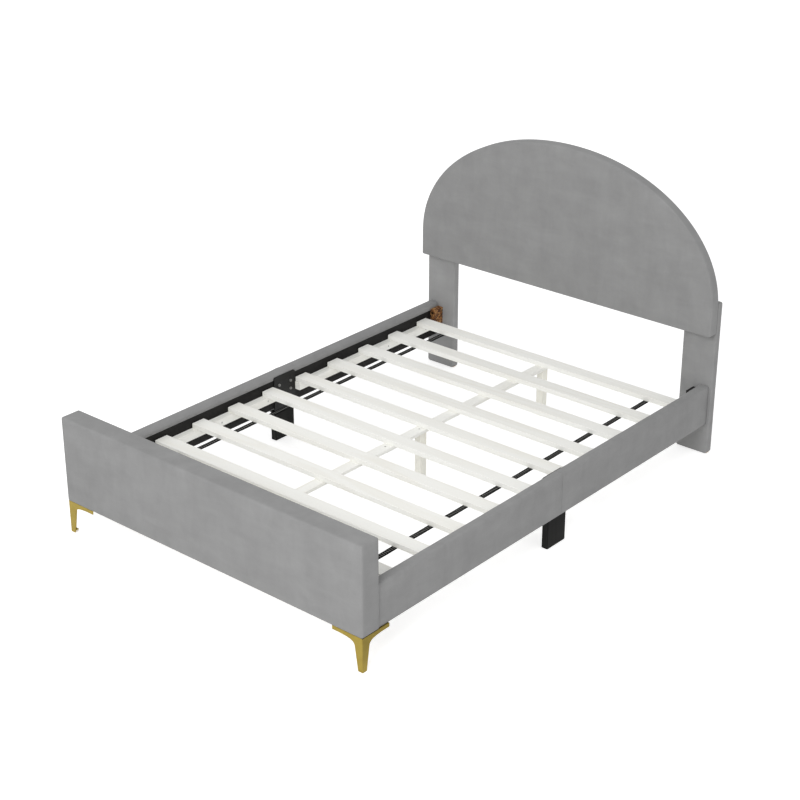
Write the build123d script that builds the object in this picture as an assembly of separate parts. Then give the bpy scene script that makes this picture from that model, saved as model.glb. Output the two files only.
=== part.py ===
from build123d import *
import os

os.makedirs("parts", exist_ok=True)

# An upholstered platform bed in millimetres: X across, +Y towards the head end, Z up from the floor.
# The origin is on the floor, under the middle of the whole bed.

# Driving sizes of the bed
footboard_width = 1424
footboard_thickness = 80
footboard_height = 334
floor_clearance = 128
clear_length = 1963
rail_setback = 8
rail_thickness = 44
rail_height = 163
panel_overhang = 8
panel_thickness = 45
panel_lower_edge = 513
panel_straight_height = 106
panel_arch_rise = 510
head_leg_overhang = 6
head_leg_width = 146
head_leg_thickness = 33
head_leg_overlap = 127
slat_recess = 48
overrun = 5

# Padding, boards and rounded edges
footboard_padding = 12
footboard_edge_radius = 14
footboard_back_radius = 6
rail_padding = 10
rail_underwrap = 2
rail_slope_rise = 15
rail_slope_run = 25
rail_outer_radius = 8
rail_inner_radius = 12
rail_lower_radius = 5
rail_lip_height = 25
rail_lip_thickness = 3
panel_edge_radius = 16
panel_side_padding = 14
panel_board_thickness = 12
panel_cloth_thickness = 1
panel_cloth_inset = 8
leg_padding = 6
leg_corner_radius = 8
leg_toe_radius = 5

# Slats, webbing, ledgers and the middle beam
slat_count = 10
slat_width = 60
slat_thickness = 20
slat_edge_radius = 2
slat_end_gap = 3
first_slat_setback = 144
last_slat_setback = 119
webbing_width = 23
webbing_thickness = 1.5
webbing_inset = 142
webbing_tail = 22
tack_radius = 1.5
tack_length = 11
tack_head_radius = 5
tack_head_thickness = 1.6
ledger_width = 30
ledger_height = 30
ledger_gap = 8
beam_width = 46
beam_thickness = 12
beam_tail = 8
post_width = 30
post_depth = 32
post_place_shares = (0.089, 0.535, 0.981)
splice_length = 130
splice_thickness = 3

# Brackets, blocks and legs
bracket_slat_gap = 5
bracket_thickness = 5
bracket_top_drop = 12
bracket_corner_radius = 9
bracket_shelf_thickness = 4
mid_leg_width = 27
mid_leg_ledge = 6
mid_leg_edge_radius = 3
block_width = 25
block_depth = 53
block_height = 72
block_top_drop = 19
block_edge_radius = 1.5
wing_length = 130
wing_thickness = 3
wing_end_height = 14
wing_root_drop = 40
wing_root_width = 33
wing_toe_width = 20
wing_inset = 3
wing_plate_width = 42
wing_plate_thickness = 2.5
glide_radius = 8
glide_height = 7
glide_stand = 1
glide_plate_thickness = 3
glide_seat_gap = 1

# Fasteners
wood_screw_radius = 2
wood_screw_head_radius = 4.2
wood_screw_head_height = 2.6
wood_screw_length = 38
plate_screw_length = 22
bolt_radius = 3
bolt_head_radius = 6.5
bolt_head_height = 4
panel_bolt_recess = 5
panel_bolt_shares = (0.26, 0.74)
bracket_bolt_spacing = 64
bracket_bolt_rise = 34
bracket_bolt_drop = 39
block_bolt_grip = 26
splice_bolt_length = 21
splice_nut_radius = 5
splice_nut_height = 5
hole_clearance = 0.2

# Places that follow from the sizes above
bed_length = footboard_thickness + clear_length + head_leg_thickness
foot_y = -bed_length / 2
inner_foot_y = foot_y + footboard_thickness
leg_front_y = inner_foot_y + clear_length
leg_back_y = leg_front_y + head_leg_thickness
rail_outer_x = footboard_width / 2 - rail_setback
rail_inner_x = rail_outer_x - rail_thickness
rail_top = floor_clearance + rail_height
footboard_top = floor_clearance + footboard_height
core_outer_x = rail_outer_x - rail_padding
core_top = rail_top - rail_padding
core_bottom = floor_clearance + rail_underwrap
slat_top = rail_top - slat_recess
slat_bottom = slat_top - slat_thickness
slat_half_length = rail_inner_x - slat_end_gap
slat_pitch = (clear_length - first_slat_setback - last_slat_setback) / (slat_count - 1)
slat_centres = [inner_foot_y + first_slat_setback + slat_pitch * i for i in range(slat_count)]
slat_before_seam = slat_centres[slat_count // 2 - 1]
seam_y = slat_before_seam + slat_pitch / 2
webbing_x = slat_half_length - webbing_inset
beam_bottom = slat_bottom - beam_thickness
beam_start = slat_centres[0] - slat_width / 2 + beam_tail
beam_end = slat_centres[-1] + slat_width / 2 - beam_tail
beam_joint_y = slat_before_seam
post_centres = [beam_start + (beam_end - beam_start) * share for share in post_place_shares]
panel_width = footboard_width + 2 * panel_overhang
head_leg_x = footboard_width / 2 + head_leg_overhang - head_leg_width / 2
head_leg_height = panel_lower_edge + head_leg_overlap
bracket_length = slat_pitch - slat_width - 2 * bracket_slat_gap
bracket_start = seam_y - bracket_length / 2
bracket_end = seam_y + bracket_length / 2
bracket_inner_x = rail_inner_x - bracket_thickness
bracket_low = floor_clearance - bracket_shelf_thickness
bracket_top = rail_top - bracket_top_drop
bracket_bolt_length = bracket_thickness + rail_thickness - rail_padding - bolt_radius
ledger_inner_x = rail_inner_x - ledger_width
block_inner_x = rail_inner_x - block_width
block_top = rail_top - block_top_drop
block_low = block_top - block_height
block_bolt_length = block_depth + block_bolt_grip
ledger_screw_length = ledger_width + (rail_thickness - rail_padding) / 2
foot_block_end = inner_foot_y + block_depth
head_block_start = leg_front_y - block_depth
panel_front_y = leg_front_y - panel_thickness
panel_board_back_y = leg_front_y - panel_cloth_thickness
panel_board_front_y = panel_board_back_y - panel_board_thickness
panel_bolt_start_y = leg_back_y - panel_bolt_recess
panel_bolt_length = panel_bolt_start_y - panel_board_front_y - bolt_radius
wing_corner_x = footboard_width / 2 - wing_inset
wing_corner_y = foot_y + wing_inset
plate_bottom = floor_clearance - wing_plate_thickness
glide_centre_inset = wing_thickness + glide_seat_gap + glide_radius

sides = (("left", -1), ("right", 1))
finished = []


def save(name, shape):
    """Writes one piece under its own name."""
    export_step(shape, f"parts/{name}.step")
    finished.append(name)


def block(x_range, y_range, z_range):
    """A straight-sided block between pairs of limits, in either order."""
    spans = [sorted(pair) for pair in (x_range, y_range, z_range)]
    middle = [sum(pair) / 2 for pair in spans]
    return Pos(*middle) * Box(*[pair[1] - pair[0] for pair in spans])


def rod(start, direction, radius, length):
    """A round bar that leaves a point in a direction."""
    low_end = (Align.CENTER, Align.CENTER, Align.MIN)
    return Plane(origin=start, z_dir=direction) * Cylinder(radius, length, align=low_end)


def flush_screw(start, direction, length, slack=0):
    """A wood screw with a flush conical head, or its hole when slack is given."""
    low_end = (Align.CENTER, Align.CENTER, Align.MIN)
    head = Cone(
        wood_screw_head_radius + slack, wood_screw_radius + slack, wood_screw_head_height, align=low_end
    )
    shank = Cylinder(wood_screw_radius + slack, length, align=low_end)
    return Plane(origin=start, z_dir=direction) * (head + shank)


def bolt(start, direction, length, slack=0):
    """A bolt whose head stands out behind the start point, or its shank hole when slack is given."""
    shank = rod(start, direction, bolt_radius + slack, length)
    if slack:
        return shank
    backward = tuple(-part for part in direction)
    head = rod(start, backward, bolt_head_radius, bolt_head_height)
    far_rim = head.edges().filter_by(GeomType.CIRCLE).sort_by_distance(start)[-1]
    return fillet(far_rim, bolt_head_height / 3) + shank


def drill(body, tools):
    """Cuts every tool out of a body."""
    for tool in tools:
        body = body - tool
    return body


def rounded(section, corner, radius):
    """Rounds the corner of a section that lies nearest a point."""
    return fillet(section.vertices().sort_by_distance(corner)[0], radius)


# Fastener places, shared by the fasteners and by the holes that take them
def bracket_bolt_places(side):
    """Start points of the four bolts through a side bracket into the rail."""
    upper = bracket_top - bracket_bolt_drop
    rows = (upper - bracket_bolt_rise, upper)
    columns = (seam_y - bracket_bolt_spacing / 2, seam_y + bracket_bolt_spacing / 2)
    return [(side * bracket_inner_x, y, z) for y in columns for z in rows]


def ledger_runs():
    """Start and end of the foot half and the head half of a ledger."""
    foot_run = ("foot", foot_block_end + ledger_gap, bracket_start)
    head_run = ("head", bracket_end, head_block_start - ledger_gap)
    return foot_run, head_run


def ledger_screw_places(side, start, end):
    """Start points of four screws along a ledger, on its inner face."""
    end_share, inner_share = 0.07, 0.36
    level = slat_bottom - ledger_height / 2
    shares = (end_share, inner_share, 1 - inner_share, 1 - end_share)
    return [(side * ledger_inner_x, start + (end - start) * share, level) for share in shares]


def block_screw_places(side, start):
    """Start points of the two screws that hold a corner block to the rail."""
    quarter_share = 0.22
    level = (block_low + block_top) / 2
    shares = (quarter_share, 1 - quarter_share)
    return [(side * block_inner_x, start + block_depth * share, level) for share in shares]


def block_bolt_places(side, y):
    """Start points of the two bolts that run along a corner block."""
    low_share, high_share = 0.2, 0.8
    x = side * (block_inner_x + rail_inner_x) / 2
    return [(x, y, block_low + block_height * share) for share in (low_share, high_share)]


def panel_bolt_places(side):
    """Start points of the bolts that hold the padded panel to a head leg."""
    heights = [panel_lower_edge + head_leg_overlap * share for share in panel_bolt_shares]
    return [(side * head_leg_x, panel_bolt_start_y, z) for z in heights]


def wing_screw_places(side):
    """Start points of the screws up through the top plate of a brass leg."""
    inset_share, middle_share, far_share = 0.67, 0.56, 0.82
    inset = wing_plate_width * inset_share
    front_line_y = wing_corner_y + inset
    side_line_x = side * (wing_corner_x - inset)
    far_x = side * (wing_corner_x - wing_length * far_share)
    middle_x = side * (wing_corner_x - wing_length * middle_share)
    far_y = wing_corner_y + wing_length * far_share
    front_places = [(far_x, front_line_y, plate_bottom), (middle_x, front_line_y, plate_bottom)]
    return front_places + [(side_line_x, far_y, plate_bottom)]


def post_screw_places(centre):
    """Start points of the two screws down through the beam into a middle leg."""
    offset = post_depth / 4
    return [(0, centre - offset, slat_bottom), (0, centre + offset, slat_bottom)]


def splice_bolt_places():
    """Start points of the four screws down through the beam joint."""
    near_share, far_share = 0.12, 0.38
    offsets = [splice_length * share * way for share in (near_share, far_share) for way in (-1, 1)]
    return [(0, beam_joint_y + offset, slat_bottom) for offset in offsets]


def tack_places(y):
    """Places of the two tacks that hold the webbing under one slat."""
    return [(way * webbing_x, y, slat_bottom - webbing_thickness) for way in (-1, 1)]


# Headboard
def arch_outline(inset=0):
    """The arched outline of the padded panel, drawn in from its edge by an inset."""
    half = panel_width / 2 - inset
    low = panel_lower_edge + inset
    shoulder = panel_lower_edge + panel_straight_height
    rise = panel_arch_rise - inset
    arch = EllipticalCenterArc((0, shoulder), half, rise, start_angle=0, arc_size=180)
    sides_and_base = Polyline((-half, shoulder), (-half, low), (half, low), (half, shoulder))
    return make_face(Plane.XZ * (arch + sides_and_base))


def arch_slab(front_y, back_y, inset=0):
    """The arched outline as a slab between two places along the bed."""
    slab = extrude(arch_outline(inset), amount=back_y - front_y, dir=(0, 1, 0))
    return Pos(0, front_y, 0) * slab


def make_headboard():
    """The padded panel, its board, the cloth behind it and the bolts from the legs."""
    bolts = [place for name, side in sides for place in panel_bolt_places(side)]
    holes = [bolt(place, (0, -1, 0), panel_bolt_length, hole_clearance) for place in bolts]
    pad = arch_slab(panel_front_y, panel_board_back_y)
    front = pad.faces().sort_by(Axis.Y)[0]
    pad = fillet(front.edges(), panel_edge_radius)
    pad = pad - arch_slab(panel_board_front_y, panel_board_back_y + overrun, panel_side_padding)
    save("headboard_pad", pad)
    board = arch_slab(panel_board_front_y, panel_board_back_y, panel_side_padding)
    save("headboard_board", drill(board, holes))
    cloth = arch_slab(panel_board_back_y, leg_front_y, panel_cloth_inset)
    save("headboard_back_cloth", drill(cloth, holes))
    save("headboard_bolts", Compound([bolt(place, (0, -1, 0), panel_bolt_length) for place in bolts]))


def make_head_leg(name, side):
    """A flat upholstered leg: a board inside a padded sleeve that is open at the floor."""
    x_range = (side * head_leg_x - head_leg_width / 2, side * head_leg_x + head_leg_width / 2)
    y_range = (leg_front_y, leg_back_y)
    sleeve = block(x_range, y_range, (0, head_leg_height))
    sleeve = fillet(sleeve.edges().filter_by(Axis.Z), leg_corner_radius)
    sleeve = fillet(sleeve.faces().sort_by(Axis.Z)[-1].edges(), leg_corner_radius / 2)
    core_x = (x_range[0] + leg_padding, x_range[1] - leg_padding)
    core_y = (y_range[0] + leg_padding, y_range[1] - leg_padding)
    core = block(core_x, core_y, (0, head_leg_height - leg_padding))
    toe = sleeve.faces().sort_by(Axis.Z)[0]
    sleeve = fillet(toe.edges(), leg_toe_radius)
    sleeve = sleeve - block(core_x, core_y, (-overrun, head_leg_height - leg_padding))
    holes = [bolt(place, (0, -1, 0), panel_bolt_length, hole_clearance) for place in panel_bolt_places(side)]
    recesses = [
        rod(place, (0, 1, 0), bolt_head_radius + hole_clearance, panel_bolt_recess + overrun)
        for place in panel_bolt_places(side)
    ]
    corner_holes = [
        bolt(place, (0, 1, 0), block_bolt_length, hole_clearance)
        for place in block_bolt_places(side, head_block_start)
    ]
    save(f"head_leg_cover_{name}", drill(sleeve, holes + recesses + corner_holes))
    save(f"head_leg_board_{name}", drill(core, holes + recesses + corner_holes))


# Footboard
def make_footboard():
    """The padded footboard and the board inside it, which shows underneath."""
    half = footboard_width / 2
    pad = block((-half, half), (foot_y, inner_foot_y), (floor_clearance, footboard_top))
    back = pad.faces().sort_by(Axis.Y)[-1]
    pad = fillet(back.edges(), footboard_back_radius)
    front = pad.faces().sort_by(Axis.Y)[0]
    pad = fillet(front.edges(), footboard_edge_radius)
    core_x = (-half + footboard_padding, half - footboard_padding)
    core_y = (foot_y + footboard_padding, inner_foot_y - footboard_padding)
    core_z = (floor_clearance, footboard_top - footboard_padding)
    pad = pad - block(core_x, core_y, (floor_clearance - overrun, core_z[1]))
    holes = []
    for name, side in sides:
        for place in block_bolt_places(side, foot_block_end):
            holes.append(bolt(place, (0, -1, 0), block_bolt_length, hole_clearance))
        for place in wing_screw_places(side)[:2]:
            holes.append(flush_screw(place, (0, 0, 1), plate_screw_length, hole_clearance))
    save("footboard_pad", drill(pad, holes))
    save("footboard_board", drill(block(core_x, core_y, core_z), holes))


# Side rails
def rail_core_section(side):
    """Section of the rail's board, with a sloping underside and a shallow step where the cover's lip lies."""
    points = [
        (rail_inner_x, core_bottom + rail_slope_rise),
        (rail_inner_x + rail_slope_run, core_bottom),
        (core_outer_x, core_bottom),
        (core_outer_x, core_top),
        (rail_inner_x + rail_lip_thickness, core_top),
        (rail_inner_x + rail_lip_thickness, rail_top - rail_lip_height),
        (rail_inner_x, rail_top - rail_lip_height),
    ]
    outline = Polyline(*[(side * x, z) for x, z in points], close=True)
    return make_face(Plane.XZ * outline)


def rail_cover_section(side):
    """Outer section of the padded rail, rounded over the top, with its underside sloping up to the inside."""
    height = (floor_clearance + rail_top) / 2
    middle = side * (rail_outer_x + rail_inner_x) / 2
    section = Pos(middle, height) * Rectangle(rail_thickness, rail_height)
    section = rounded(section, (side * rail_inner_x, rail_top), rail_inner_radius)
    section = rounded(section, (side * rail_outer_x, rail_top), rail_outer_radius)
    section = rounded(section, (side * rail_outer_x, floor_clearance), rail_lower_radius)
    slope = Polyline(
        (side * rail_inner_x, floor_clearance),
        (side * (rail_inner_x + rail_slope_run), floor_clearance),
        (side * rail_inner_x, floor_clearance + rail_slope_rise),
        close=True,
    )
    section = section - make_face(slope)
    return Plane.XZ * section


def make_rail_half(half, name, side, start, end):
    """Half of a side rail: a dark board inside, padded over its outside and top."""
    core = Pos(0, start, 0) * extrude(rail_core_section(side), amount=end - start, dir=(0, 1, 0))
    cover = Pos(0, start, 0) * extrude(rail_cover_section(side), amount=end - start, dir=(0, 1, 0))
    long_core = extrude(rail_core_section(side), amount=end - start + 2 * overrun, dir=(0, 1, 0))
    cover = cover - Pos(0, start - overrun, 0) * long_core
    holes = []
    for place in bracket_bolt_places(side):
        holes.append(bolt(place, (side, 0, 0), bracket_bolt_length, hole_clearance))
    for run, run_start, run_end in ledger_runs():
        for place in ledger_screw_places(side, run_start, run_end):
            holes.append(flush_screw(place, (side, 0, 0), ledger_screw_length, hole_clearance))
    for block_start in (inner_foot_y, head_block_start):
        for place in block_screw_places(side, block_start):
            holes.append(flush_screw(place, (side, 0, 0), wood_screw_length, hole_clearance))
    if half == "foot":
        wing_place = wing_screw_places(side)[-1]
        under = flush_screw(wing_place, (0, 0, 1), plate_screw_length, hole_clearance)
        holes.append(under)
        cover = cover - under
    near = [hole for hole in holes if start < hole.center().Y < end]
    save(f"rail_board_{half}_{name}", drill(core, near))
    save(f"rail_cover_{half}_{name}", cover)


def make_ledgers(name, side):
    """The two strips along one rail that carry the slats."""
    for half, start, end in ledger_runs():
        strip = block(
            (side * ledger_inner_x, side * rail_inner_x),
            (start, end),
            (slat_bottom - ledger_height, slat_bottom),
        )
        holes = [
            flush_screw(place, (side, 0, 0), ledger_screw_length, hole_clearance)
            for place in ledger_screw_places(side, start, end)
        ]
        save(f"ledger_{half}_{name}", drill(strip, holes))


def make_ledger_screws():
    """All the screws that hold the ledgers to the rails."""
    screws = []
    for name, side in sides:
        for half, start, end in ledger_runs():
            for place in ledger_screw_places(side, start, end):
                screws.append(flush_screw(place, (side, 0, 0), ledger_screw_length))
    save("ledger_screws", Compound(screws))


# Middle brackets and legs
def make_mid_support(name, side):
    """The steel bracket over the rail's seam and the dark leg under it."""
    y_range = (bracket_start, bracket_end)
    plate = block((side * bracket_inner_x, side * rail_inner_x), y_range, (bracket_low, bracket_top))
    plate = fillet(plate.edges().filter_by(Axis.X).group_by(Axis.Z)[-1], bracket_corner_radius)
    shelf_outer = rail_inner_x + mid_leg_width
    shelf = block((side * bracket_inner_x, side * shelf_outer), y_range, (bracket_low, floor_clearance))
    holes = [
        bolt(place, (side, 0, 0), bracket_bolt_length, hole_clearance) for place in bracket_bolt_places(side)
    ]
    save(f"mid_bracket_{name}", drill(plate + shelf, holes))
    leg_y = (bracket_start + mid_leg_ledge, bracket_end - mid_leg_ledge)
    leg = block((side * rail_inner_x, side * shelf_outer), leg_y, (0, bracket_low))
    save(f"mid_leg_{name}", fillet(leg.edges().filter_by(Axis.Z), mid_leg_edge_radius))


def make_bracket_bolts():
    """The eight bolts through the side brackets."""
    bolts = []
    for name, side in sides:
        for place in bracket_bolt_places(side):
            bolts.append(bolt(place, (side, 0, 0), bracket_bolt_length))
    save("bracket_bolts", Compound(bolts))


# Corner blocks
def make_corner_block(end_name, name, side, start):
    """A wooden block in a corner between a rail and the board at its end."""
    body = block(
        (side * block_inner_x, side * rail_inner_x),
        (start, start + block_depth),
        (block_low, block_top),
    )
    inner_edges = body.edges().filter_by(Axis.Z).group_by(Axis.X)[0 if side > 0 else -1]
    body = fillet(inner_edges, block_edge_radius)
    holes = [
        flush_screw(place, (side, 0, 0), wood_screw_length, hole_clearance)
        for place in block_screw_places(side, start)
    ]
    head_end = end_name == "head"
    bolt_start = start if head_end else start + block_depth
    direction = (0, 1, 0) if head_end else (0, -1, 0)
    holes += [
        bolt(place, direction, block_bolt_length, hole_clearance)
        for place in block_bolt_places(side, bolt_start)
    ]
    save(f"{end_name}_block_{name}", drill(body, holes))


def make_corner_fasteners():
    """The bolts and screws of the four corner blocks."""
    pieces = []
    for name, side in sides:
        for place in block_bolt_places(side, head_block_start):
            pieces.append(bolt(place, (0, 1, 0), block_bolt_length))
        for place in block_bolt_places(side, foot_block_end):
            pieces.append(bolt(place, (0, -1, 0), block_bolt_length))
        for start in (inner_foot_y, head_block_start):
            for place in block_screw_places(side, start):
                pieces.append(flush_screw(place, (side, 0, 0), wood_screw_length))
    save("corner_fasteners", Compound(pieces))


# Brass legs at the foot end
def wing_outline():
    """Outline of one wing of a brass leg: along from the corner, and up from the floor."""
    top = plate_bottom
    end_low = floor_clearance - wing_end_height
    root_level = floor_clearance - wing_root_drop
    toe = glide_stand
    shoulder_share, neck_share = 1.7, 1.06
    lower_edge = Bezier(
        (wing_length, end_low),
        (wing_root_width * shoulder_share, end_low),
        (wing_root_width * neck_share, end_low - wing_end_height / 3),
        (wing_root_width, root_level),
    )
    return make_face(
        Polyline((wing_toe_width, toe), (0, toe), (0, top), (wing_length, top), (wing_length, end_low))
        + lower_edge
        + Line((wing_root_width, root_level), (wing_toe_width, toe))
    )


def make_foot_leg(name, side):
    """A brass corner leg: two curved wings, a top plate on each and a small plate for the glide."""
    outline = wing_outline()
    corner = (side * wing_corner_x, wing_corner_y, 0)
    front_plane = Plane(origin=corner, x_dir=(-side, 0, 0), z_dir=(0, side, 0))
    side_plane = Plane(origin=corner, x_dir=(0, 1, 0), z_dir=(1, 0, 0))
    front_wing = extrude(front_plane * outline, amount=wing_thickness, dir=(0, 1, 0))
    side_wing = extrude(side_plane * outline, amount=wing_thickness, dir=(-side, 0, 0))
    top_z = (plate_bottom, floor_clearance)
    far_x = side * (wing_corner_x - wing_length)
    far_y = wing_corner_y + wing_length
    arm_x = side * (wing_corner_x - wing_plate_width)
    arm_y = wing_corner_y + wing_plate_width
    plate = block((side * wing_corner_x, far_x), (wing_corner_y, arm_y), top_z)
    plate = plate + block((side * wing_corner_x, arm_x), (wing_corner_y, far_y), top_z)
    toe_reach = wing_toe_width - wing_thickness / 2
    toe_z = (glide_height, glide_height + glide_plate_thickness)
    toe_x = side * (wing_corner_x - toe_reach)
    toe_y = wing_corner_y + toe_reach
    toe_plate = block((side * wing_corner_x, toe_x), (wing_corner_y, toe_y), toe_z)
    holes = [
        flush_screw(place, (0, 0, 1), plate_screw_length, hole_clearance) for place in wing_screw_places(side)
    ]
    save(f"foot_leg_{name}", drill(front_wing + side_wing + plate + toe_plate, holes))
    centre = (side * (wing_corner_x - glide_centre_inset), wing_corner_y + glide_centre_inset, 0)
    glide = rod(centre, (0, 0, 1), glide_radius, glide_height)
    glide = fillet(glide.edges().filter_by(GeomType.CIRCLE), glide_height / 4)
    save(f"foot_glide_{name}", glide)


def make_foot_leg_screws():
    """The screws up through the brass legs."""
    screws = []
    for name, side in sides:
        for place in wing_screw_places(side):
            screws.append(flush_screw(place, (0, 0, 1), plate_screw_length))
    save("foot_leg_screws", Compound(screws))


# Middle beam and its legs
def make_beam():
    """The flat beam under the middle of the slats, in two halves over a steel splice."""
    x_range = (-beam_width / 2, beam_width / 2)
    z_range = (beam_bottom, slat_bottom)
    splice_z = (beam_bottom - splice_thickness, beam_bottom)
    splice_y = (beam_joint_y - splice_length / 2, beam_joint_y + splice_length / 2)
    post_places = [place for centre in post_centres for place in post_screw_places(centre)]
    post_holes = [flush_screw(place, (0, 0, -1), wood_screw_length, hole_clearance) for place in post_places]
    splice_holes = [
        flush_screw(place, (0, 0, -1), splice_bolt_length, hole_clearance) for place in splice_bolt_places()
    ]
    runs = (("foot", beam_start, beam_joint_y), ("head", beam_joint_y, beam_end))
    for half, start, end in runs:
        save(f"beam_{half}", drill(block(x_range, (start, end), z_range), post_holes + splice_holes))
    plate_width = beam_width - 2 * splice_thickness
    plate = block((-plate_width / 2, plate_width / 2), splice_y, splice_z)
    save("beam_splice", drill(plate, splice_holes))
    for post_name, centre in zip(("foot", "middle", "head"), post_centres):
        post = block(
            (-post_width / 2, post_width / 2),
            (centre - post_depth / 2, centre + post_depth / 2),
            (0, beam_bottom),
        )
        save(f"beam_leg_{post_name}", drill(post, post_holes))
    screws = [flush_screw(place, (0, 0, -1), wood_screw_length) for place in post_places]
    save("beam_leg_screws", Compound(screws))
    bolts = []
    for place in splice_bolt_places():
        shank = flush_screw(place, (0, 0, -1), splice_bolt_length)
        nut_top = (place[0], place[1], splice_z[0])
        bolts.append(shank + rod(nut_top, (0, 0, -1), splice_nut_radius, splice_nut_height))
    save("beam_splice_bolts", Compound(bolts))


# Slats and webbing
def make_slats():
    """The ten slats, with a hole at each webbing for its tack."""
    for number, y in enumerate(slat_centres, start=1):
        slat = block(
            (-slat_half_length, slat_half_length),
            (y - slat_width / 2, y + slat_width / 2),
            (slat_bottom, slat_top),
        )
        slat = fillet(slat.edges().filter_by(Axis.X), slat_edge_radius)
        holes = [rod(place, (0, 0, 1), tack_radius + hole_clearance, tack_length) for place in tack_places(y)]
        save(f"slat_{number}", drill(slat, holes))


def make_webbing(name, side):
    """The webbing under the slats that keeps them apart."""
    start = slat_centres[0] - webbing_tail
    end = slat_centres[-1] + webbing_tail
    x_range = (side * webbing_x - webbing_width / 2, side * webbing_x + webbing_width / 2)
    band = block(x_range, (start, end), (slat_bottom - webbing_thickness, slat_bottom))
    holes = []
    for y in slat_centres:
        for place in tack_places(y):
            holes.append(rod(place, (0, 0, 1), tack_radius + hole_clearance, webbing_thickness))
    save(f"webbing_{name}", drill(band, [hole for hole in holes if hole.center().X * side > 0]))


def make_tacks():
    """The tacks that hold the webbing to the slats."""
    tacks = []
    for y in slat_centres:
        for place in tack_places(y):
            shank = rod(place, (0, 0, 1), tack_radius, tack_length - tack_radius)
            tacks.append(shank + rod(place, (0, 0, -1), tack_head_radius, tack_head_thickness))
    save("webbing_tacks", Compound(tacks))


make_headboard()
make_footboard()
for side_name, side_sign in sides:
    make_head_leg(side_name, side_sign)
    make_rail_half("foot", side_name, side_sign, inner_foot_y, seam_y)
    make_rail_half("head", side_name, side_sign, seam_y, leg_front_y)
    make_ledgers(side_name, side_sign)
    make_mid_support(side_name, side_sign)
    make_corner_block("foot", side_name, side_sign, inner_foot_y)
    make_corner_block("head", side_name, side_sign, head_block_start)
    make_foot_leg(side_name, side_sign)
    make_webbing(side_name, side_sign)
make_ledger_screws()
make_bracket_bolts()
make_corner_fasteners()
make_foot_leg_screws()
make_beam()
make_slats()
make_tacks()
print(len(finished), "pieces,", "bed length", bed_length)
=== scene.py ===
import math

import bmesh
import bpy
from mathutils import Matrix, Vector, geometry, kdtree, noise


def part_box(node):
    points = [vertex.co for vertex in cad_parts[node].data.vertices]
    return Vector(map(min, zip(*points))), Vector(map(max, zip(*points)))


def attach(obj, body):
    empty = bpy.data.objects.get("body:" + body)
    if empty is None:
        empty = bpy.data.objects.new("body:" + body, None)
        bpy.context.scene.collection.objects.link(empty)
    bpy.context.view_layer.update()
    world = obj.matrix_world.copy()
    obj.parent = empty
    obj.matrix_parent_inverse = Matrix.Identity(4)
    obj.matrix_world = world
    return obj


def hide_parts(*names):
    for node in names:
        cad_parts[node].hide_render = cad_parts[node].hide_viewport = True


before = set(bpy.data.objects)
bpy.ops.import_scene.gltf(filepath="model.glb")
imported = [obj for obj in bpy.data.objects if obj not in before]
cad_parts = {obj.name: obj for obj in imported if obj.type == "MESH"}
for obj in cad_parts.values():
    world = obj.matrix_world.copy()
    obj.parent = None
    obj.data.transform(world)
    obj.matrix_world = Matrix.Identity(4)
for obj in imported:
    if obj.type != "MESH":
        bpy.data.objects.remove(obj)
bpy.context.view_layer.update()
scene = bpy.context.scene

# Names that repeat
sides = (("left", -1), ("right", 1))
halves = ("foot", "head")
quarters = [f"{half}_{side}" for half in halves for side, _ in sides]
slat_names = [f"slat_{number}" for number in range(1, 11)]

# Sizes of the upholstery, in metres
panel_straight = 0.106
panel_roll = 0.009
panel_corner = 0.0095
panel_crown = 0.005
arch_inset = 0.002
arch_lift = 0.001
footboard_roll = 0.008
footboard_corner = 0.009
footboard_low_corner = 0.0085
footboard_crown = 0.0035
back_roll = 0.003
crown_width = 0.11
leg_roll = 0.0065
leg_corner = 0.0075
leg_toe = 0.013
leg_crown = 0.0012
rail_lip = 0.025
rail_crown = 0.0016
rail_top_drop = 0.004
rail_top_roll = 0.0045
rail_inner_roll = 0.013
rail_low_roll = 0.002
rail_tuck = 0.0018
rail_end_ease = 0.018
rail_level_reach = 0.15
rail_level_ease = 0.08
rail_wrap = 0.002
rail_slope_rise = 0.015
rail_slope_run = 0.025
hidden_depth = 0.008
webbing_slack = 0.0007
webbing_edge = 0.0003
cloth_thickness = 0.0006
cloth_ripple = 0.0012
tight = 0.0002

# How the upholstery is meshed and swelled
outline_step = 0.006
band_step = 0.01
cell = 0.008
roll_steps = 5
arch_fullness = 0.98
low_edge_share = 0.65
footboard_low_share = 0.3
edge_hold = 0.004
panel_hold = 0.006
leg_hold = 0.003
corner_detail = 1.5
same_place = 0.00001
pad_pressure = 4.0
sim_quality = 3
sim_frames = 10


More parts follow.
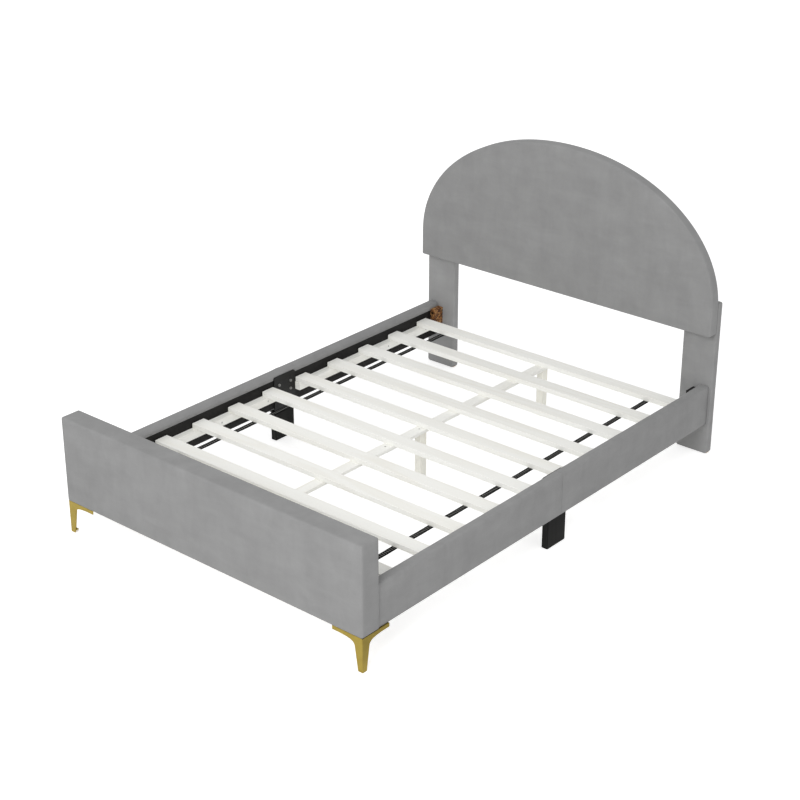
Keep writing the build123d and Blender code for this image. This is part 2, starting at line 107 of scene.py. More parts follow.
# Node trees
class Graph:
    """Adds nodes to a tree, and links or sets their inputs."""

    def __init__(self, tree):
        self.tree = tree

    def fill(self, node, inputs):
        for name, value in inputs.items():
            if isinstance(value, bpy.types.NodeSocket):
                self.tree.links.new(value, node.inputs[name])
            else:
                node.inputs[name].default_value = value

    def add(self, kind, inputs=None, **settings):
        node = self.tree.nodes.new(kind)
        for name, value in settings.items():
            setattr(node, name, value)
        self.fill(node, inputs or {})
        return node

    def get(self, kind, inputs=None, **settings):
        return self.add(kind, inputs, **settings).outputs[0]

    def math(self, operation, first, second=0.0, clamp=False):
        return self.get("ShaderNodeMath", {0: first, 1: second}, operation=operation, use_clamp=clamp)

    def plus(self, first, second, clamp=False):
        return self.math("ADD", first, second, clamp)

    def times(self, first, second, clamp=False):
        return self.math("MULTIPLY", first, second, clamp)

    def scaled(self, vector, factors):
        return self.get("ShaderNodeVectorMath", {0: vector, 1: factors}, operation="MULTIPLY")

    def parts(self, vector):
        return self.add("ShaderNodeSeparateXYZ", {0: vector}).outputs

    def vector(self, *parts):
        return self.get("ShaderNodeCombineXYZ", dict(enumerate(parts)))

    def mix(self, factor, first, second):
        node = self.add("ShaderNodeMix", {0: factor, 6: first, 7: second}, data_type="RGBA")
        return node.outputs[2]

    def noise(self, vector, scale, detail=2.0, rough=0.5, bend=0.0):
        inputs = {"Vector": vector, "Scale": scale, "Detail": detail, "Roughness": rough, "Distortion": bend}
        return self.get("ShaderNodeTexNoise", inputs)

    def spread_to(self, share, value):
        """1 where the share is 0, and the value where it is 1."""
        return self.plus(1.0, self.times(share, self.math("SUBTRACT", value, 1.0)))

    def spread(self, value, low, high, to_low=0.0, to_high=1.0):
        return self.get("ShaderNodeMapRange", {0: value, 1: low, 2: high, 3: to_low, 4: to_high})

    def give(self, *values):
        """Feeds the group's outputs in their order, and gives its tree."""
        self.add("NodeGroupOutput", dict(enumerate(values)))
        return self.tree

    def dress(self, shader, color, rough, height, strength, distance):
        """Feeds a shader its colour, its roughness and its relief."""
        bump = self.get("ShaderNodeBump", {"Strength": strength, "Distance": distance, "Height": height})
        self.fill(shader, {"Base Color": color, "Roughness": rough, "Normal": bump})


def new_group(name, kind, inputs, outputs):
    """An empty node group: its graph, and the sockets that come into it."""
    tree = bpy.data.node_groups.new(name, kind + "NodeTree")
    for way, sockets in (("INPUT", inputs), ("OUTPUT", outputs)):
        for title, sort in sockets.items():
            tree.interface.new_socket(name=title, in_out=way, socket_type="NodeSocket" + sort)
    graph = Graph(tree)
    return graph, graph.add("NodeGroupInput").outputs


def give_solids(graph, placed, material):
    """Ends a geometry group with real meshes of one material."""
    real = graph.get("GeometryNodeRealizeInstances", {0: placed})
    return graph.give(graph.get("GeometryNodeSetMaterial", {"Geometry": real, "Material": material}))


effect_outputs = {"Color": "Color", "Roughness": "Float", "Height": "Float"}


def pile_group():
    """Velvet pile: soft brush strokes both ways, and fine fibres."""
    inputs = {"Place": "Vector", "Tone": "Color", "Strokes": "Float", "Mottle": "Float", "Fibres": "Float"}
    graph, entry = new_group("velvet pile", "Shader", inputs, effect_outputs)
    place = entry["Place"]
    upright = graph.noise(graph.scaled(place, (1, 1, 0.4)), entry["Strokes"], 3.0, 0.6, 0.3)
    level = graph.noise(graph.scaled(place, (0.4, 0.4, 1)), entry["Strokes"], 3.0, 0.6, 0.3)
    fibre = graph.noise(place, entry["Fibres"], 2.0, 0.7)
    strokes = graph.math("SUBTRACT", graph.plus(upright, level), 1.0)
    shade = graph.get("ShaderNodeMath", {0: strokes, 1: entry["Mottle"], 2: 1.0}, operation="MULTIPLY_ADD")
    speck = graph.spread(fibre, 0.25, 0.75, 0.95, 1.05)
    tone = graph.scaled(entry["Tone"], graph.times(shade, speck))
    rough = graph.spread(upright, 0.3, 0.7, 0.78, 0.92)
    height = graph.plus(fibre, graph.times(level, 0.6))
    return graph.give(tone, rough, height)


def grain_group():
    """Sawn wood, with its grain along the first coordinate: growth lines, fibres and pores."""
    inputs = {"Place": "Vector", "Pale": "Color", "Deep": "Color", "Lines": "Float", "Contrast": "Float"}
    graph, entry = new_group("wood grain", "Shader", inputs, effect_outputs)
    place = entry["Place"]
    field = graph.noise(graph.scaled(place, (0.07, 1, 1)), entry["Lines"], 1.5, 0.5, 0.5)
    wave = graph.math("SINE", graph.times(field, 46.0))
    lines = graph.spread(wave, -0.4, 1.0)
    fibre = graph.noise(graph.scaled(place, (0.02, 1, 1)), 420.0, 2.0, 0.6)
    pores = graph.spread(graph.noise(graph.scaled(place, (0.09, 1, 1)), 520.0, 1.0), 0.62, 0.7)
    cloud = graph.noise(graph.scaled(place, (0.3, 1, 1)), 6.0, 2.0)
    mask = graph.times(lines, 0.5)
    mask = graph.plus(mask, graph.times(fibre, 0.45))
    mask = graph.plus(mask, graph.times(pores, 0.5))
    mask = graph.times(mask, graph.spread(cloud, 0.3, 0.7, 0.5, 1.3))
    mask = graph.times(mask, entry["Contrast"], clamp=True)
    tone = graph.mix(mask, entry["Pale"], entry["Deep"])
    rough = graph.spread(mask, 0.0, 1.0, 0.55, 0.75)
    return graph.give(tone, rough, mask)


def weave_group():
    """Plain weave: yarns over and under each other, two ways."""
    inputs = {"Place": "Vector", "Yarn": "Color", "Gap": "Color", "Count": "Float"}
    graph, entry = new_group("plain weave", "Shader", inputs, effect_outputs)
    turns = graph.times(entry["Count"], math.pi)
    parts = graph.parts(entry["Place"])
    warp = graph.math("SINE", graph.times(parts[0], turns))
    weft = graph.math("SINE", graph.times(graph.plus(parts[1], parts[2]), turns))
    over = graph.times(warp, weft)
    height = graph.math("ABSOLUTE", over)
    fuzz = graph.noise(entry["Place"], 900.0, 2.0)
    mask = graph.times(graph.spread(height, 0.05, 0.5), graph.spread(fuzz, 0.2, 0.8, 0.7, 1.2))
    tone = graph.mix(mask, entry["Gap"], entry["Yarn"])
    rough = graph.spread(fuzz, 0.2, 0.8, 0.75, 0.95)
    return graph.give(tone, rough, height)


def metal_group():
    """Finished metal: drawn streaks along the first coordinate, cloudy wear and fine specks."""
    inputs = {"Place": "Vector", "Clean": "Color", "Worn": "Color", "Streaks": "Float", "Gloss": "Float"}
    graph, entry = new_group("drawn metal", "Shader", inputs, effect_outputs)
    place = entry["Place"]
    streak = graph.noise(graph.scaled(place, (0.04, 1, 1)), entry["Streaks"], 2.0, 0.6)
    cloud = graph.noise(place, 28.0, 3.0, 0.6)
    speck = graph.noise(place, 1400.0, 1.0)
    wear = graph.spread(cloud, 0.42, 0.72)
    tone = graph.mix(graph.times(wear, 0.5), entry["Clean"], entry["Worn"])
    tone = graph.scaled(tone, graph.spread(streak, 0.25, 0.75, 0.93, 1.07))
    rough = graph.plus(entry["Gloss"], graph.spread(streak, 0.2, 0.8, -0.06, 0.08))
    rough = graph.plus(rough, graph.times(wear, 0.08), clamp=True)
    height = graph.plus(streak, graph.times(speck, 0.3))
    return graph.give(tone, rough, height)


pile = pile_group()
grain = grain_group()
weave = weave_group()
drawn = metal_group()


def new_material(name):
    """A new material, with its graph and its shader."""
    material = bpy.data.materials.new(name)
    material.use_nodes = True
    return material, Graph(material.node_tree), material.node_tree.nodes["Principled BSDF"]


def surface(name, effect, values, relief, lie="x", **shader):
    """A material from an effect group. Relief is strength and depth; lie is the axis that grain follows."""
    material, graph, principled = new_material(name)
    place = graph.add("ShaderNodeTexCoord").outputs["Object"]
    parts = graph.parts(place)
    along = graph.vector(*(parts[axis] for axis in {"x": "XYZ", "y": "YXZ", "z": "ZXY"}[lie]))
    inputs = {title: (*value, 1) if isinstance(value, tuple) else value for title, value in values.items()}
    node = graph.add("ShaderNodeGroup", {"Place": along, **inputs}, node_tree=effect)
    graph.dress(principled, *(node.outputs[title] for title in effect_outputs), *relief)
    graph.fill(principled, {title.replace("_", " "): value for title, value in shader.items()})
    return material


def chip_surface():
    """The corner blocks: brown board pressed from chips."""
    material, graph, principled = new_material("pressed chip board")
    place = graph.add("ShaderNodeTexCoord").outputs["Object"]
    bent = graph.noise(place, 60.0, 2.0)
    shifted = graph.get("ShaderNodeVectorMath", {0: place, 1: graph.scaled(bent, (0.006, 0.006, 0.006))})
    chips = graph.add("ShaderNodeTexVoronoi", {"Vector": shifted, "Scale": 150.0}).outputs
    tone = graph.get("ShaderNodeSeparateColor", {0: chips["Color"]})
    ramp = graph.add("ShaderNodeValToRGB", {0: tone})
    stops = ramp.color_ramp.elements
    stops[0].color = (0.035, 0.012, 0.004, 1)
    stops[1].color = (0.44, 0.23, 0.08, 1)
    stops[1].position = 0.9
    for position, color in ((0.3, (0.1, 0.035, 0.01, 1)), (0.62, (0.3, 0.12, 0.03, 1))):
        stops.new(position).color = color
    fibre = graph.noise(graph.scaled(place, (1, 1, 0.1)), 700.0, 2.0)
    tone = graph.scaled(ramp.outputs[0], graph.spread(fibre, 0.2, 0.8, 0.75, 1.25))
    height = graph.plus(graph.times(chips["Distance"], 1.5), fibre)
    graph.dress(principled, tone, graph.spread(fibre, 0.2, 0.8, 0.6, 0.85), height, 0.5, 0.0006)
    return material


def webbing_surface():
    """Black webbing, with a ladder of greyer yarns between its plain edges."""
    rung_pitch, rib_pitch, ladder_full, ladder_end = 0.0105, 0.0012, 0.45, 0.62
    low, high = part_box("webbing_right")
    centre, half = (low.x + high.x) / 2, (high.x - low.x) / 2
    material, graph, principled = new_material("black webbing")
    place = graph.add("ShaderNodeTexCoord").outputs["Object"]
    parts = graph.parts(place)
    aside = graph.math("ABSOLUTE", graph.math("SUBTRACT", graph.math("ABSOLUTE", parts[0]), centre))
    middle = graph.spread(aside, ladder_full * half, ladder_end * half, 1.0, 0.0)
    turns = [graph.times(parts[1], 2 * math.pi / pitch) for pitch in (rung_pitch, rib_pitch)]
    rungs, ribs = (graph.math("SINE", turn) for turn in turns)
    fuzz = graph.noise(place, 900.0, 2.0)
    mask = graph.times(middle, graph.spread(rungs, 0.1, 0.6))
    mask = graph.times(mask, graph.spread(fuzz, 0.2, 0.8, 0.7, 1.1), clamp=True)
    tone = graph.mix(mask, (0.0025, 0.0025, 0.0025, 1), (0.18, 0.18, 0.172, 1))
    height = graph.plus(mask, graph.times(ribs, 0.3))
    graph.dress(principled, tone, graph.spread(fuzz, 0.2, 0.8, 0.75, 0.95), height, 0.5, 0.0004)
    graph.fill(principled, {"Specular IOR Level": 0.04})
    return material


def velvet_surface(name, tone):
    """Grey velvet of one tone."""
    values = {"Tone": (tone, tone, tone), "Strokes": 17.0, "Mottle": 0.26, "Fibres": 1500.0}
    return surface(
        name, pile, values, (0.35, 0.0005),
        Sheen_Weight=0.12, Sheen_Roughness=0.45, Sheen_Tint=(0.9, 0.9, 0.9, 1), Specular_IOR_Level=0.15,
    )


def wood(name, pale, deep, lines, contrast, relief=(0.25, 0.0004), lie="x", specular=0.3):
    """Wood or board, from its two tones, how close its lines are and how much they show."""
    values = {"Pale": pale, "Deep": deep, "Lines": lines, "Contrast": contrast}
    return surface(name, grain, values, relief, lie, Specular_IOR_Level=specular)


def metal(name, clean, worn, streaks, gloss, relief=(0.12, 0.0002), lie="x", **shader):
    """A hard smooth finish, from its clean and worn tones, how fine its streaks are and its roughness."""
    values = {"Clean": clean, "Worn": worn, "Streaks": streaks, "Gloss": gloss}
    return surface(name, drawn, values, relief, lie, **shader)


# One grey velvet in copies whose tones are set to how light each piece looks: partly painted light and shade,
# with the left head leg painted lighter than the right
velvet_tones = {
    "headboard": 0.276, "footboard": 0.262, "rails": 0.27, "left head leg": 0.312, "right head leg": 0.29,
}
velvet = {
    piece: velvet_surface("grey velvet of the " + piece, tone) for piece, tone in velvet_tones.items()
}
back_cloth = surface(
    "black back cloth", weave, {"Yarn": (0.03, 0.03, 0.032), "Gap": (0.012, 0.012, 0.012), "Count": 700.0},
    (0.4, 0.0003), Specular_IOR_Level=0.2,
)
webbing_tape = webbing_surface()
pale_wood = {
    lie: wood("pale wood along " + lie, (0.94, 0.94, 0.905), (0.82, 0.79, 0.7), 9.0, 0.4, lie=lie)
    for lie in "xy"
}
leg_wood = wood("pale wood of the beam's legs", (0.97, 0.96, 0.89), (0.86, 0.81, 0.68), 9.0, 0.4, lie="z")
raw_board = wood("raw board", (0.6, 0.45, 0.28), (0.36, 0.22, 0.11), 7.0, 0.7, (0.35, 0.0005), specular=0.5)
dark_board = wood(
    "black faced board", (0.014, 0.0135, 0.013), (0.007, 0.0065, 0.006), 10.0, 0.8, lie="y", specular=0.16,
)
black_paint = wood(
    "black painted wood", (0.008, 0.008, 0.0075), (0.004, 0.004, 0.0035), 8.0, 0.3,
    (0.2, 0.0004), lie="z", specular=0.12,
)
black_steel = metal(
    "black powder coat", (0.01, 0.01, 0.0095), (0.016, 0.016, 0.015), 500.0, 0.42, (0.15, 0.0003),
    Specular_IOR_Level=0.2,
)
zinc = metal("zinc plated steel", (0.62, 0.62, 0.6), (0.42, 0.41, 0.38), 900.0, 0.3, Metallic=1.0)
dull_zinc = metal("dull zinc", (0.28, 0.28, 0.27), (0.16, 0.16, 0.15), 900.0, 0.4, Metallic=1.0)
bronze = metal("brown plated steel", (0.14, 0.08, 0.04), (0.08, 0.045, 0.02), 900.0, 0.4, Metallic=1.0)
brass = metal(
    "satin brass", (0.335, 0.252, 0.052), (0.27, 0.198, 0.038), 1100.0, 0.34, lie="z", Metallic=1.0,
)
pale_plastic = metal(
    "pale plastic", (0.8, 0.78, 0.72), (0.66, 0.63, 0.56), 300.0, 0.45, (0.1, 0.0002),
    Subsurface_Weight=0.15, Subsurface_Scale=0.004,
)
chip_board = chip_surface()


# Meshes
def new_piece(name, data):
    """Adds a mesh, a camera or a light to the scene."""
    piece = bpy.data.objects.new(name, data)
    scene.collection.objects.link(piece)
    return piece


def made_piece(name, body):
    """Turns a mesh in the making into a piece."""
    mesh = bpy.data.meshes.new(name)
    body.to_mesh(mesh)
    body.free()
    return new_piece(name, mesh)


def search_tree(outline):
    """Finds the point of a flat outline that is nearest to another."""
    tree = kdtree.KDTree(len(outline))
    for i, point in enumerate(outline):
        tree.insert((point.x, point.y, 0), i)
    tree.balance()
    return tree


def even_fill(outline, spacing):
    """Points inside an outline, and near-even triangles over the outline's points and these."""
    tree = search_tree(outline)
    low, high = min(point.y for point in outline), max(point.y for point in outline)
    row_height = spacing * math.sin(math.radians(60))
    clearance = 0.6 * spacing
    accuracy = 0.000001
    inner = []
    for row in range(1, int((high - low) / row_height) + 1):
        level = low + row * row_height
        crossings = []
        for last, point in zip([outline[-1]] + outline, outline):
            if (last.y > level) != (point.y > level):
                crossings.append(last.x + (point.x - last.x) * (level - last.y) / (point.y - last.y))
        crossings.sort()
        for start, end in zip(crossings[::2], crossings[1::2]):
            first = math.ceil(start / spacing) + row % 2 / 2
            places = [(first + k) * spacing for k in range(int((end - start) / spacing) + 1)]
            inner += [
                Vector((x, level)) for x in places if x < end and tree.find((x, level, 0))[2] > clearance
            ]
    border = list(range(len(outline)))
    found = geometry.delaunay_2d_cdt(outline + inner, [], [border], 1, accuracy)
    triangles, origins = found[2], found[3]
    return inner, [[origins[i][0] for i in triangle] for triangle in triangles]


def fill_end(body, loop, spacing):
    """Fills a ring of vertices that lies flat across Y."""
    inner, faces = even_fill([Vector((vertex.co.x, vertex.co.z)) for vertex in loop], spacing)
    level = loop[0].co.y
    vertices = loop + [body.verts.new((point.x, level, point.y)) for point in inner]
    for face in faces:
        body.faces.new([vertices[i] for i in face])


def ring_solid(name, rings, spacings=None):
    """A closed mesh through rings of as many points each, its ends plain or filled at two spacings."""
    body = bmesh.new()
    loops = [[body.verts.new(point) for point in ring] for ring in rings]
    for near, far in zip(loops, loops[1:]):
        for i in range(len(near)):
            j = (i + 1) % len(near)
            body.faces.new((near[i], near[j], far[j], far[i]))
    if spacings:
        fill_end(body, loops[0], spacings[0])
        fill_end(body, loops[-1], spacings[1])
    else:
        body.faces.new(list(reversed(loops[0])))
        body.faces.new(loops[-1])
    bmesh.ops.recalc_face_normals(body, faces=body.faces)
    return made_piece(name, body)


def apply_modifiers(piece):
    """Keeps the evaluated mesh of a piece and takes its modifiers off."""
    graph = bpy.context.evaluated_depsgraph_get()
    done = bpy.data.meshes.new_from_object(piece.evaluated_get(graph))
    old = piece.data
    piece.modifiers.clear()
    piece.data = done
    done.name = piece.name
    bpy.data.meshes.remove(old)


def with_modifier(piece, kind, **settings):
    """Applies one modifier to a piece's mesh."""
    modifier = piece.modifiers.new(kind.lower(), kind)
    for name, value in settings.items():
        setattr(modifier, name, value)
    apply_modifiers(piece)


def with_nodes(piece, tree, inputs):
    """Runs a geometry tree on a piece with named inputs, and keeps its mesh."""
    modifier = piece.modifiers.new(tree.name, "NODES")
    modifier.node_group = tree
    for item in tree.interface.items_tree:
        if item.name in inputs:
            modifier[item.identifier] = inputs[item.name]
    apply_modifiers(piece)


def finished(piece, material, smooth=True, body="root"):
    """Gives a piece its material, smooths it and lets it ride on its body."""
    piece.data.materials.clear()
    piece.data.materials.append(material)
    for face in piece.data.polygons:
        face.use_smooth = smooth
    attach(piece, body)
    return piece


def rounded_outline(corners, radii):
    """Points about one step apart round a closed outline whose corners have radii."""
    points = []
    count = len(corners)
    for i, corner in enumerate(corners):
        corner = Vector(corner)
        before = (Vector(corners[i - 1]) - corner).normalized()
        after = (Vector(corners[(i + 1) % count]) - corner).normalized()
        half = before.angle(after) / 2
        reach = radii[i] / math.tan(half)
        centre = corner + (before + after).normalized() * radii[i] / math.sin(half)
        if not radii[i]:
            points.append(corner)
            continue
        spoke = corner + before * reach - centre
        turn = spoke.angle_signed(corner + after * reach - centre)
        pieces = max(2, round(radii[i] * abs(turn) / outline_step * corner_detail))
        for k in range(pieces + 1):
            points.append(centre + Matrix.Rotation(-turn * k / pieces, 2) @ spoke)
    dense = []
    for i, point in enumerate(points):
        following = points[(i + 1) % len(points)]
        parts = max(1, round((following - point).length / outline_step))
        dense += [point.lerp(following, k / parts) for k in range(parts)]
    return dense


def outward(points):
    """Unit normals that point out of an anticlockwise outline."""
    normals = []
    for i in range(len(points)):
        along = points[(i + 1) % len(points)] - points[i - 1]
        normals.append(Vector((along.y, -along.x)).normalized())
    return normals


# Measuring the fasteners
fastener_sizes = (
    "Top radius", "Low radius", "Head height", "Head rise", "Drive radius", "Drive depth", "Shank radius",
)
fastener_sides = ("Head sides", "Drive sides")
fastener_rows = {
    "bolt": (0.0052, 0.0065, 0.004, 0.004, 0.0029, 0.0022, 0.003, 28, 6),
    "screw": (0.0042, 0.002, 0.0026, 0.0, 0.0017, 0.0014, 0.002, 24, 4),
    "tack": (0.0034, 0.005, 0.001, 0.001, 0.0008, 0.0002, 0.0015, 24, 12),
    "nut": (0.0056, 0.0056, 0.005, 0.0, 0.0024, 0.001, 0.002, 6, 16),
}
fastener_kinds = {
    kind: dict(zip(fastener_sizes + fastener_sides, row)) for kind, row in fastener_rows.items()
}


def loose_parts(name):
    """The separate bodies of a CAD node, each as a list of its points."""
    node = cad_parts[name]
    body = bmesh.new()
    body.from_mesh(node.data)
    bmesh.ops.remove_doubles(body, verts=body.verts, dist=same_place)
    parts = []
    for seed in body.verts:
        if seed.tag:
            continue
        seed.tag = True
        reached = [seed]
        for vertex in reached:
            for edge in vertex.link_edges:
                other = edge.other_vert(vertex)
                if not other.tag:
                    other.tag = True
                    reached.append(other)
        parts.append([node.matrix_world @ vertex.co for vertex in reached])
    body.free()
    return parts


def measured(points):
    """Where a fastener's widest end is, which way that faces, its length and its widest radius."""
    low = Vector([min(point[k] for point in points) for k in range(3)])
    high = Vector([max(point[k] for point in points) for k in range(3)])
    size, centre = high - low, (low + high) / 2
    axis = min(range(3), key=lambda k: abs(size[k - 1] - size[k - 2]))
    along = Vector([float(k == axis) for k in range(3)])

    def radius(point):
        spoke = point - centre
        return (spoke - along * spoke.dot(along)).length

    widest, nearly = max(radius(point) for point in points), 0.98
    wide = [point[axis] for point in points if radius(point) > nearly * widest]
    way = 1 if sum(wide) / len(wide) > centre[axis] else -1
    return centre + along * way * size[axis] / 2, along * way, size[axis], widest


# Padding
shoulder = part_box("headboard_pad")[0].z + panel_straight


def smooth_step(share):
    """Eases a share in at 0 and out at 1, and keeps it between them."""
    share = max(0.0, min(1.0, share))
    return share * share * (3 - 2 * share)


def swell(piece, cap, held):
    """Swells a closed piece as cloth under pressure. Held points stay, and no other moves past its cap."""
    mesh = piece.data
    mesh.update()
    rest = [vertex.co.copy() for vertex in mesh.vertices]
    caps = [cap(point) for point in rest]
    fixed = [held(point) for point in rest]
    group = piece.vertex_groups.new(name="held")
    group.add([i for i, hold in enumerate(fixed) if hold], 1.0, "REPLACE")
    cloth = piece.modifiers.new("swell", "CLOTH")
    cloth.settings.quality = sim_quality
    cloth.settings.use_pressure = True
    cloth.settings.uniform_pressure_force = pad_pressure
    cloth.settings.vertex_group_mass = "held"
    cloth.settings.effector_weights.gravity = 0
    cloth.point_cache.frame_end = sim_frames
    for number in range(1, sim_frames + 1):
        scene.frame_set(number)
    shaped = piece.evaluated_get(bpy.context.evaluated_depsgraph_get()).data
    moved = [vertex.co.copy() for vertex in shaped.vertices]
    piece.modifiers.clear()
    piece.vertex_groups.clear()
    scene.frame_set(1)
    for vertex, start, end, limit, hold in zip(mesh.vertices, rest, moved, caps, fixed):
        shift = Vector((0, 0, 0)) if hold else end - start
        if shift.length > limit:
            shift *= limit / shift.length
        vertex.co = start + shift
    mesh.update()


def crowned(outline, crown):
    """A cap that grows from nothing at the outline to the crown further inside, and waves there."""
    waves, wave_share = 7.0, 0.2
    tree = search_tree(outline)

    def cap(point):
        distance = tree.find((point.x, point.z, 0))[2]
        share = smooth_step(distance / crown_width)
        wave = noise.noise(point * waves) * 0.5 + 0.5
        return crown * share * (1 - wave_share + wave_share * wave)

    return cap


def padded_panel(name, outline, faces, rolls, crown, held, low_share=low_edge_share):
    """An upholstered panel with rolled edges, from its outline in X and Z and its front and back places."""
    outline = [point - normal * tight for point, normal in zip(outline, outward(outline))]
    normals = outward(outline)
    arcs = []
    for roll, face, way in zip(rolls, (faces[0] + tight, faces[1]), (1, -1)):
        arc = []
        for k in range(roll_steps + 1):
            angle = math.pi / 2 * k / roll_steps
            ring = []
            for point, normal in zip(outline, normals):
                own = roll * (1 - low_share * max(0.0, -normal.y))
                x, z = point - normal * own * (1 - math.sin(angle))
                ring.append(Vector((x, face + way * own * (1 - math.cos(angle)), z)))
            arc.append(ring)
        arcs.append(arc)
    near, far = arcs[0][-1], arcs[1][-1]
    count = max(1, round((far[0].y - near[0].y) / band_step))
    band = [[a.lerp(b, k / count) for a, b in zip(near, far)] for k in range(1, count)]
    piece = ring_solid(name, arcs[0] + band + list(reversed(arcs[1])), (cell, 2 * cell))
    cap = crowned(outline, crown)
    swell(piece, cap, lambda point: held(point) or cap(point) < tight / 10)
    return piece


def arch_points(half, shoulder, rise, fullness=1.0, count=320):
    """Points in X and Z from an arch's right shoulder to its left; under 1 is fuller than an ellipse."""
    points = []
    for k in range(count + 1):
        across, up = math.cos(math.pi * k / count), max(0.0, math.sin(math.pi * k / count))
        x = half * math.copysign(abs(across) ** fullness, across)
        points.append(Vector((x, shoulder + rise * up ** fullness)))
    return points


def headboard_padding():
    """The arched padded panel of the headboard."""
    low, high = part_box("headboard_pad")
    half = high.x - arch_inset
    arch = arch_points(half, shoulder, high.z - shoulder + arch_lift, arch_fullness)
    base = rounded_outline(
        [(-half, shoulder), (-half, low.z), (half, low.z), (half, shoulder)],
        [0, panel_corner, panel_corner, 0],
    )
    outline = [point for point in base if point.y < shoulder - 0.001] + arch
    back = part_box("headboard_back_cloth")[0].y
    piece = padded_panel(
        "headboard_padding", outline, (low.y, back - tight / 2), (panel_roll, back_roll), panel_crown,
        lambda point: point.y > back - panel_hold,
    )
    finished(piece, velvet["headboard"])
    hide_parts("headboard_pad")


def rectangle_outline(low, high, top_radius, low_radius):
    """A rounded rectangle in X and Z, anticlockwise from its lower left corner."""
    corners = [(low.x, low.z), (high.x, low.z), (high.x, high.z), (low.x, high.z)]
    return rounded_outline(corners, [low_radius, low_radius, top_radius, top_radius])


def footboard_padding():
    """The padded footboard; the board inside it shows underneath."""
    low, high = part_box("footboard_pad")
    low = low + Vector((0, 0, tight))
    outline = rectangle_outline(low, high, footboard_corner, footboard_low_corner)
    piece = padded_panel(
        "footboard_padding", outline, (low.y, high.y - tight), (footboard_roll, back_roll), footboard_crown,
        lambda point: point.z < low.z + edge_hold or point.y > high.y - edge_hold, footboard_low_share,
    )
    finished(piece, velvet["footboard"])
    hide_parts("footboard_pad")


def head_leg_padding(name, side):
    """An upholstered head leg, flat where the panel and the rail lie against it."""
    low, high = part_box("head_leg_cover_" + name)
    outline = rectangle_outline(low, high, leg_corner, leg_toe)
    piece = padded_panel(
        "head_leg_padding_" + name, outline, (low.y, high.y), (leg_roll, leg_roll), leg_crown,
        lambda point: point.z < low.z + edge_hold or point.y < low.y + leg_hold,
    )
    open_bolt_holes(piece, side)
    finished(piece, velvet[name + " head leg"])
    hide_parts("head_leg_cover_" + name)


def open_bolt_holes(piece, side):
    """Sinks the round holes for the panel's bolts into the back of a head leg."""
    clearance, overrun, rise = 0.0004, 0.004, fastener_kinds["bolt"]["Head rise"]
    body = bmesh.new()
    for points in loose_parts("headboard_bolts"):
        place, facing, _, radius = measured(points)
        if place.x * side < 0:
            continue
        depth = rise + overrun
        turn = facing.to_track_quat("Z", "Y").to_matrix().to_4x4()
        spot = Matrix.Translation(place + facing * (overrun - rise) / 2) @ turn
        wide = radius + clearance
        bmesh.ops.create_cone(
            body, cap_ends=True, segments=32, radius1=wide, radius2=wide, depth=depth, matrix=spot,
        )
    cutter = made_piece("holes", body)
    with_modifier(piece, "BOOLEAN", operation="DIFFERENCE", solver="EXACT", object=cutter)
    bpy.data.objects.remove(cutter)


def rail_profile(low, high, inner, outer):
    """Section of a rail's cover, as X and Z: lip, rolled top, outer side and the wrap below."""
    hidden, sharp = inner + hidden_depth, 0.0002
    under = low.z + rail_slope_rise
    hidden_under = low.z + rail_slope_rise * (1 - hidden_depth / rail_slope_run)
    corners = (
        ((hidden, hidden_under + rail_wrap), sharp),
        ((inner, under + rail_wrap), sharp),
        ((inner, under), 0.0008),
        ((inner + rail_slope_run, low.z), 0.003),
        ((outer, low.z), rail_low_roll),
        ((outer, high.z), rail_top_roll),
        ((inner, high.z - rail_top_drop), rail_inner_roll),
        ((inner, high.z - rail_lip), 0.0015),
        ((hidden, high.z - rail_lip), sharp),
    )
    return rounded_outline(*zip(*corners))


def rail_padding(half, name, side):
    """The padded cover of half a side rail, tucked in at both ends. Its top is level near the head leg."""
    node = f"rail_cover_{half}_{name}"
    low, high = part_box(node)
    inner, outer = sorted((abs(low.x), abs(high.x)))
    profile = rail_profile(low, high, inner, outer)
    length = high.y - low.y
    tuck_steps = 3
    places = [rail_tuck * (1 - math.cos(math.pi / 2 * k / tuck_steps)) for k in range(tuck_steps)]
    count = round((length - 2 * rail_tuck) / band_step)
    places += [rail_tuck + (length - 2 * rail_tuck) * k / count for k in range(count + 1)]
    places += [length - place for place in reversed(places[:tuck_steps])]
    rise, skipped, wide = 0.01, 0.2, (inner + outer) / 2 - 0.021
    free = [min(1.0, max(0.0, (p.y - low.z) / rise - skipped)) * (p.x > wide) for p in profile]
    normals = outward(profile)
    rings = []
    for place in places:
        near_leg = smooth_step((rail_level_reach - length + place) / rail_level_ease)
        lift = rail_top_drop * near_leg if half == "head" else 0.0
        end = min(place, length - place, rail_tuck) / rail_tuck
        inset = rail_tuck * (1 - math.sqrt(max(0.0, 1 - (1 - end) ** 2)))
        ring = []
        for point, normal, share in zip(profile, normals, free):
            x, z = point - normal * inset * share
            upper = max(0.0, (z - high.z + rail_lip) / (rail_lip - rail_top_drop))
            z += lift * min(1.0, upper) * (outer - x) / (outer - inner)
            ring.append(Vector((side * x, low.y + place, z)))
        rings.append(ring)
    piece = ring_solid(f"rail_padding_{half}_{name}", rings)

    def held(point):
        flat, lip_depth, lip_top, slope_top = 0.001, 0.0095, 0.006, 0.018
        depth = abs(point.x) - inner
        inside = depth < lip_depth and point.z < high.z - rail_lip + lip_top
        under = point.z < low.z + edge_hold or (depth < rail_slope_run and point.z < low.z + slope_top)
        return depth < flat or inside or under or not low.y + edge_hold < point.y < high.y - edge_hold

    def cap(point):
        return rail_crown * max(0.0, min(1.0, min(point.y - low.y, high.y - point.y) / rail_end_ease))

    swell(piece, cap, held)
    finished(piece, velvet["rails"])
    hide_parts(node)


headboard_padding()
footboard_padding()
for side_name, side_sign in sides:
    head_leg_padding(side_name, side_sign)
    for rail_half in halves:
        rail_padding(rail_half, side_name, side_sign)


